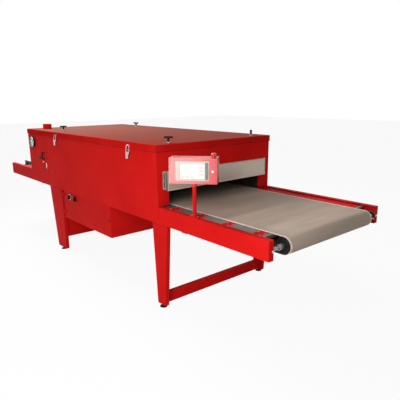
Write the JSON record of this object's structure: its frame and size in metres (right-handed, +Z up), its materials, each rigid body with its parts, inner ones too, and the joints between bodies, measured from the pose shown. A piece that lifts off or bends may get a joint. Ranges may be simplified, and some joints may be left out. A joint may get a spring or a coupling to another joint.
{
  "type": "conveyor dryer",
  "caption": "Belt conveyor dryer for printed textiles: heated tunnel with lift-up lid, adjustable shutters, drive rollers, legs, electrical cabinet and swivelling control panel.",
  "frame": {"origin": "on the floor, under the middle of the bounding box", "axes": "+X along the belt to the outfeed, +Y across to the hinged side of the lid, +Z up"},
  "size_m": [4.6644, 1.5717, 1.453],
  "materials": {
    "paint": "satin red powder coat",
    "zinc_sheet": "dull galvanised sheet",
    "aluminium": "cast, painted grey",
    "bright_steel": "bright zinc plate",
    "sheet_aluminium": "bright sheet",
    "black_plastic": "matt black",
    "black_steel": "blackened",
    "belt_cloth": "coated glass cloth",
    "mineral_wool": "mineral wool slab",
    "screen": "pale lit screen",
    "button_plastic": "white",
    "stop_plastic": "red"
  },
  "bodies": {
    "frame": {"side_rails": "paint", "cross_members": "paint", "slider_plates": "zinc_sheet", "infeed_guides": "black_plastic", "front_legs": "paint", "rear_legs": "paint", "leg_braces": "paint", "levelling_feet": "bright_steel", "hood_sides": "paint", "rear_covers": "paint", "front_end_frame": "paint", "rear_end_frame": "paint", "tunnel_liners": "zinc_sheet", "side_insulation": "mineral_wool", "hinge_lower": "bright_steel", "latch_bases": "bright_steel", "belt": "belt_cloth", "bearing_blocks": "bright_steel", "frame_bolts": "bright_steel", "gearmotor": "aluminium", "panel_post": "paint", "cabinet_box": "paint", "cabinet_devices": "zinc_sheet", "fan_housing": "zinc_sheet", "thermometer_case": "bright_steel", "damper_guides": "bright_steel", "access_handle": "black_plastic"},
    "lid": {"lid_shell": "paint", "lid_insulation": "mineral_wool", "hinge_upper": "bright_steel", "lid_keepers": "bright_steel", "exhaust_stub": "paint", "screw_collars": "bright_steel"},
    "heater": {"heater_frame": "zinc_sheet", "heater_panels": "sheet_aluminium"},
    "screw_1": {"lift_screw_1": "black_steel"},
    "screw_2": {"lift_screw_2": "black_steel"},
    "screw_3": {"lift_screw_3": "black_steel"},
    "screw_4": {"lift_screw_4": "black_steel"},
    "lever_front": {"latch_lever_front": "bright_steel"},
    "lever_rear": {"latch_lever_rear": "bright_steel"},
    "bail_front": {"latch_bail_front": "bright_steel"},
    "bail_rear": {"latch_bail_rear": "bright_steel"},
    "shutter_front": {"front_shutter": "zinc_sheet"},
    "shutter_rear": {"rear_shutter": "zinc_sheet"},
    "roller_drive": {"drive_roller": "bright_steel"},
    "roller_idler": {"idler_roller": "bright_steel"},
    "roller_return_front": {"return_roller_front": "bright_steel"},
    "roller_return_rear": {"return_roller_rear": "bright_steel"},
    "impeller": {"fan_impeller": "sheet_aluminium"},
    "needle": {"thermometer_needle": "black_plastic"},
    "damper": {"air_damper": "paint"},
    "panel": {"panel_box": "paint", "panel_bezel": "zinc_sheet", "panel_screen": "screen"},
    "button": {"push_button": "button_plastic"},
    "stop": {"emergency_stop": "stop_plastic"},
    "door": {"cabinet_door": "paint"},
    "isolator": {"isolator_knob": "black_plastic"},
    "selector": {"selector_knob": "black_plastic"}
  },
  "joints": [
    {"name": "lid_hinge", "type": "hinge", "parent": "frame", "child": "lid", "pos_m": [0, 0.683, 1.333], "axis": [-1, 0, 0], "range_deg": [0, 75]},
    {"name": "heater_lift", "type": "slide", "parent": "lid", "child": "heater", "axis": [0, 0, 1], "range_m": [0, 0.04]},
    {"name": "screw_1_turn", "type": "hinge", "parent": "lid", "child": "screw_1", "pos_m": [1.05625, -0.49, 1.395], "axis": [0, 0, -1], "range_deg": [0, 1800]},
    {"name": "screw_2_turn", "type": "hinge", "parent": "lid", "child": "screw_2", "pos_m": [1.05625, 0.49, 1.395], "axis": [0, 0, -1], "range_deg": [0, 1800]},
    {"name": "screw_3_turn", "type": "hinge", "parent": "lid", "child": "screw_3", "pos_m": [-0.94875, -0.49, 1.395], "axis": [0, 0, -1], "range_deg": [0, 1800]},
    {"name": "screw_4_turn", "type": "hinge", "parent": "lid", "child": "screw_4", "pos_m": [-0.94875, 0.49, 1.395], "axis": [0, 0, -1], "range_deg": [0, 1800]},
    {"name": "latch_front_lever", "type": "hinge", "parent": "frame", "child": "lever_front", "pos_m": [0.73925, -0.682, 1.31], "axis": [-1, 0, 0], "range_deg": [0, 120]},
    {"name": "latch_front_bail", "type": "hinge", "parent": "lever_front", "child": "bail_front", "pos_m": [0.73925, -0.689, 1.296], "axis": [-1, 0, 0], "range_deg": [-150, 0]},
    {"name": "latch_rear_lever", "type": "hinge", "parent": "frame", "child": "lever_rear", "pos_m": [-0.75375, -0.682, 1.31], "axis": [-1, 0, 0], "range_deg": [0, 120]},
    {"name": "latch_rear_bail", "type": "hinge", "parent": "lever_rear", "child": "bail_rear", "pos_m": [-0.75375, -0.689, 1.296], "axis": [-1, 0, 0], "range_deg": [-150, 0]},
    {"name": "shutter_front_slide", "type": "slide", "parent": "frame", "child": "shutter_front", "axis": [0, 0, 1], "range_m": [-0.05, 0.05]},
    {"name": "shutter_rear_slide", "type": "slide", "parent": "frame", "child": "shutter_rear", "axis": [0, 0, 1], "range_m": [-0.05, 0.05]},
    {"name": "drive_roller_spin", "type": "hinge", "parent": "frame", "child": "roller_drive", "pos_m": [-2.26625, 0, 0.8275], "axis": [0, 1, 0], "continuous": true},
    {"name": "idler_roller_spin", "type": "hinge", "parent": "frame", "child": "roller_idler", "pos_m": [2.26625, 0, 0.8275], "axis": [0, 1, 0], "continuous": true},
    {"name": "return_roller_front_spin", "type": "hinge", "parent": "frame", "child": "roller_return_front", "pos_m": [1.4, 0, 0.7487], "axis": [0, 1, 0], "continuous": true},
    {"name": "return_roller_rear_spin", "type": "hinge", "parent": "frame", "child": "roller_return_rear", "pos_m": [-1.4, 0, 0.7487], "axis": [0, 1, 0], "continuous": true},
    {"name": "fan_spin", "type": "hinge", "parent": "frame", "child": "impeller", "pos_m": [-1.37375, -0.507, 1.236], "axis": [0, 0, 1], "continuous": true},
    {"name": "thermometer_turn", "type": "hinge", "parent": "frame", "child": "needle", "pos_m": [-1.44875, -0.668, 1.245], "axis": [0, 1, 0], "range_deg": [0, 270]},
    {"name": "damper_slide", "type": "slide", "parent": "frame", "child": "damper", "axis": [-1, 0, 0], "range_m": [-0.02, 0.04]},
    {"name": "panel_swivel", "type": "hinge", "parent": "frame", "child": "panel", "pos_m": [1.55925, -0.6425, 1.158], "axis": [0, 0, 1], "range_deg": [-90, 90]},
    {"name": "push_button_press", "type": "slide", "parent": "panel", "child": "button", "axis": [-0.6361, 0.7716, 0], "range_m": [0, 0.003], "stiffness_N_per_m": 600, "springref_m": -0.002},
    {"name": "emergency_stop_press", "type": "slide", "parent": "panel", "child": "stop", "axis": [0, 0, -1], "range_m": [0, 0.005], "stiffness_N_per_m": 2500, "springref_m": -0.003},
    {"name": "cabinet_door_hinge", "type": "hinge", "parent": "frame", "child": "door", "pos_m": [-0.77875, -0.6297, 0.59], "axis": [0, 0, -1], "range_deg": [0, 100]},
    {"name": "isolator_turn", "type": "hinge", "parent": "door", "child": "isolator", "pos_m": [-0.60675, -0.64, 0.69], "axis": [0, 1, 0], "range_deg": [0, 90]},
    {"name": "selector_turn", "type": "hinge", "parent": "door", "child": "selector", "pos_m": [-0.46875, -0.64, 0.69], "axis": [0, 1, 0], "range_deg": [0, 90]}
  ],
  "couplings": [
    {"joint": "screw_1_turn", "follows": "heater_lift", "rad_per_m": 785.4},
    {"joint": "screw_2_turn", "follows": "heater_lift", "rad_per_m": 785.4},
    {"joint": "screw_3_turn", "follows": "heater_lift", "rad_per_m": 785.4},
    {"joint": "screw_4_turn", "follows": "heater_lift", "rad_per_m": 785.4},
    {"joint": "latch_front_bail", "follows": "latch_front_lever", "ratio": -1.2},
    {"joint": "latch_rear_bail", "follows": "latch_rear_lever", "ratio": -1.2},
    {"joint": "idler_roller_spin", "follows": "drive_roller_spin", "ratio": 1},
    {"joint": "return_roller_front_spin", "follows": "drive_roller_spin", "ratio": -3.8125},
    {"joint": "return_roller_rear_spin", "follows": "drive_roller_spin", "ratio": -3.8125}
  ]
}
